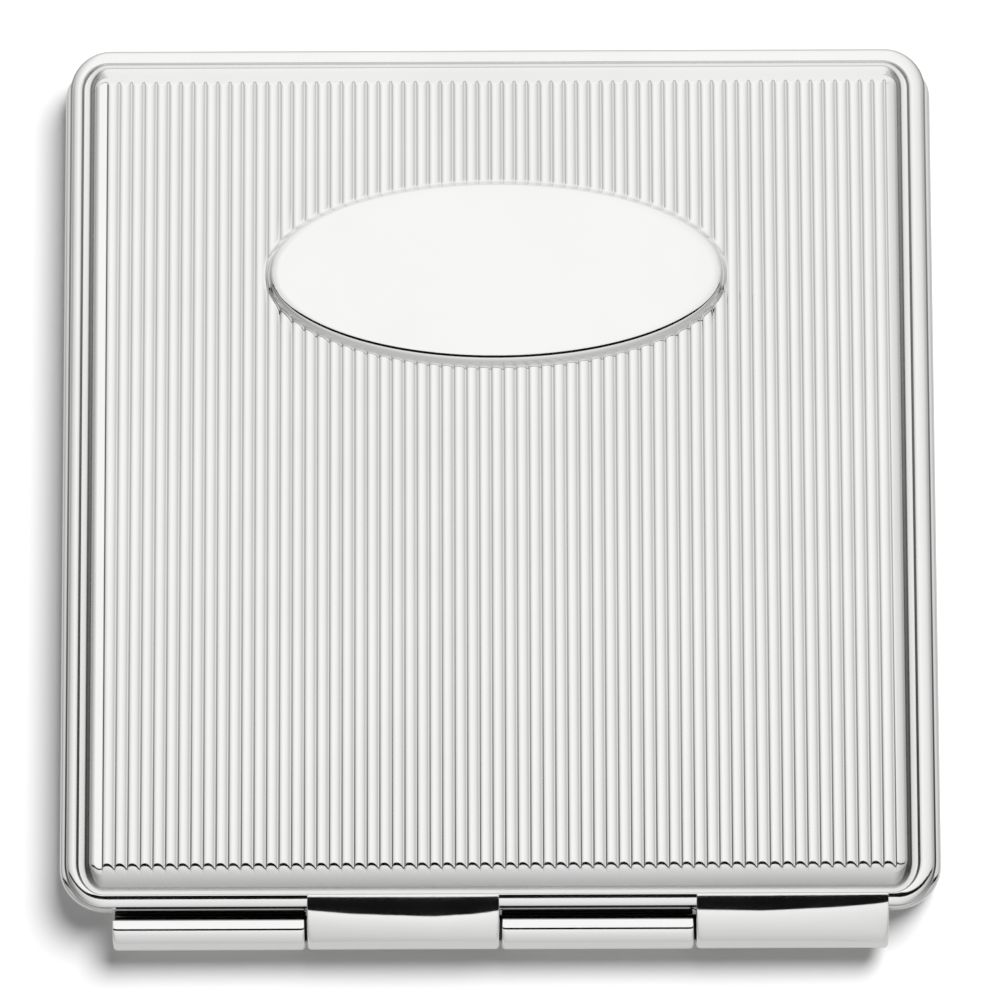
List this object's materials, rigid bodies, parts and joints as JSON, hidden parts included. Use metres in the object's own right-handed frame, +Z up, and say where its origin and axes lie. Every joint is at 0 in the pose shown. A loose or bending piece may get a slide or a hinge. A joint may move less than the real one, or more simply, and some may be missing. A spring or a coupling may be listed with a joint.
{
  "type": "compact mirror",
  "caption": "Square pocket compact with a ribbed silver-plated case, a raised oval plate, a back hinge and a mirror in each half.",
  "frame": {"origin": "middle of the closed compact's footprint, hinge included, on the surface that it lies on", "axes": "+X along the hinge, +Y from the hinge to the front edge, +Z up through the lid"},
  "size_m": [0.065, 0.068, 0.0071],
  "materials": {
    "silver_plate": "polished silver plate on stamped sheet",
    "mirror_glass": "silvered glass",
    "foam": "white foam pad",
    "backing_board": "grey board",
    "spring_steel": "bright steel"
  },
  "bodies": {
    "base": {"base_shell": "silver_plate", "base_collar": "silver_plate", "base_bezel": "silver_plate", "base_mirror": "mirror_glass", "base_pad": "foam", "base_board": "backing_board", "hinge_pin": "spring_steel"},
    "lid": {"lid_shell": "silver_plate", "lid_bezel": "silver_plate", "lid_mirror": "mirror_glass", "lid_pad": "foam", "lid_board": "backing_board", "catch_rivets": "spring_steel"},
    "catch": {"catch_spring": "spring_steel"}
  },
  "joints": [
    {"name": "lid_hinge", "type": "hinge", "parent": "base", "child": "lid", "pos_m": [0, -0.03245, 0.00325], "axis": [1, 0, 0], "range_deg": [0, 170]},
    {"name": "catch_flex", "type": "slide", "parent": "lid", "child": "catch", "axis": [0, -1, 0], "range_m": [0, 0.0003], "stiffness_N_per_m": 300}
  ]
}
